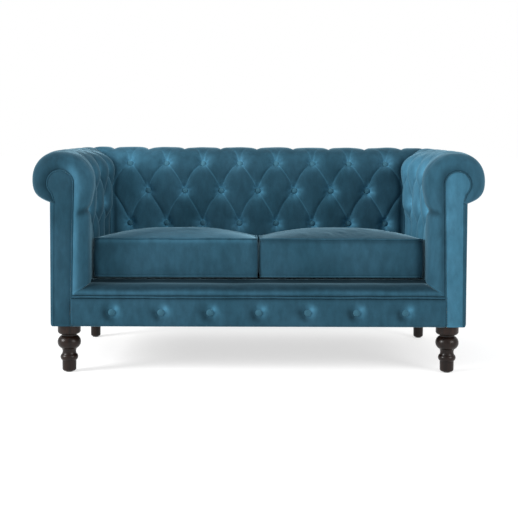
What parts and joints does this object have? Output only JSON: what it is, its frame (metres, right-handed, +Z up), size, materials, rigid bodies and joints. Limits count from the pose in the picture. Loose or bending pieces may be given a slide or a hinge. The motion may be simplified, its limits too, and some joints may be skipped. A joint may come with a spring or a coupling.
{
  "type": "sofa",
  "caption": "Two-seat rolled-arm sofa in deep-buttoned velvet with loose piped box cushions, turned front legs and tapered rear legs.",
  "frame": {"origin": "on the floor, in the middle of the width and depth", "axes": "+X to the right along the sofa seen from the front, +Y from the front to the back, +Z up"},
  "size_m": [1.5, 0.8, 0.734],
  "materials": {
    "velvet": "matte",
    "button_velvet": "matte",
    "piping_velvet": "matte",
    "leg_wood": "satin",
    "frame_wood": "matte",
    "spring_steel": "satin",
    "bolt_steel": "satin",
    "glide_plastic": "matte",
    "webbing": "matte",
    "foam": "matte",
    "platform_cloth": "matte",
    "dust_cloth": "matte",
    "zip_tape": "matte",
    "zip_metal": "satin"
  },
  "bodies": {
    "frame": {"arm_tack_rails": "frame_wood", "arm_top_rails": "frame_wood", "arm_webbing": "webbing", "back_buttons": "button_velvet", "back_cover": "velvet", "back_foam": "foam", "back_tack_rail": "frame_wood", "back_top_rail": "frame_wood", "back_upright": "frame_wood", "back_webbing": "webbing", "centre_rail": "frame_wood", "corner_blocks": "frame_wood", "dust_cover": "dust_cloth", "front_border_buttons": "button_velvet", "front_border_panel": "velvet", "front_border_welt": "piping_velvet", "front_edge_foam": "foam", "front_leg_left": "leg_wood", "front_leg_right": "leg_wood", "front_lip_cover": "velvet", "front_rail": "frame_wood", "left_arm_buttons": "button_velvet", "left_arm_cover": "velvet", "left_arm_foam": "foam", "left_arm_post": "frame_wood", "left_facing_panel": "velvet", "left_facing_welt": "piping_velvet", "left_outside_arm_panel": "velvet", "left_side_rail": "frame_wood", "leg_bolts": "bolt_steel", "leg_glides": "glide_plastic", "leg_inserts": "bolt_steel", "outside_back_panel": "velvet", "rear_leg_left": "leg_wood", "rear_leg_right": "leg_wood", "rear_posts": "frame_wood", "rear_rail": "frame_wood", "right_arm_buttons": "button_velvet", "right_arm_cover": "velvet", "right_arm_foam": "foam", "right_arm_post": "frame_wood", "right_facing_panel": "velvet", "right_facing_welt": "piping_velvet", "right_outside_arm_panel": "velvet", "right_side_rail": "frame_wood", "seat_deck_cover": "platform_cloth", "seat_deck_pad": "foam", "seat_springs": "spring_steel", "spring_clips": "spring_steel"},
    "left_cushion": {"left_cushion_cover": "velvet", "left_cushion_core": "foam", "left_cushion_piping": "piping_velvet", "left_cushion_zip": "zip_tape"},
    "right_cushion": {"right_cushion_cover": "velvet", "right_cushion_core": "foam", "right_cushion_piping": "piping_velvet", "right_cushion_zip": "zip_tape"},
    "left_zip_slider": {"left_zip_slider": "zip_metal"},
    "right_zip_slider": {"right_zip_slider": "zip_metal"}
  },
  "joints": [
    {"name": "left_cushion_lift", "type": "slide", "parent": "frame", "child": "left_cushion", "axis": [0, 0, 1], "range_m": [0, 0.47]},
    {"name": "right_cushion_lift", "type": "slide", "parent": "frame", "child": "right_cushion", "axis": [0, 0, 1], "range_m": [0, 0.47]},
    {"name": "left_zip", "type": "slide", "parent": "left_cushion", "child": "left_zip_slider", "axis": [-1, 0, 0], "range_m": [0, 0.447]},
    {"name": "right_zip", "type": "slide", "parent": "right_cushion", "child": "right_zip_slider", "axis": [1, 0, 0], "range_m": [0, 0.447]}
  ]
}
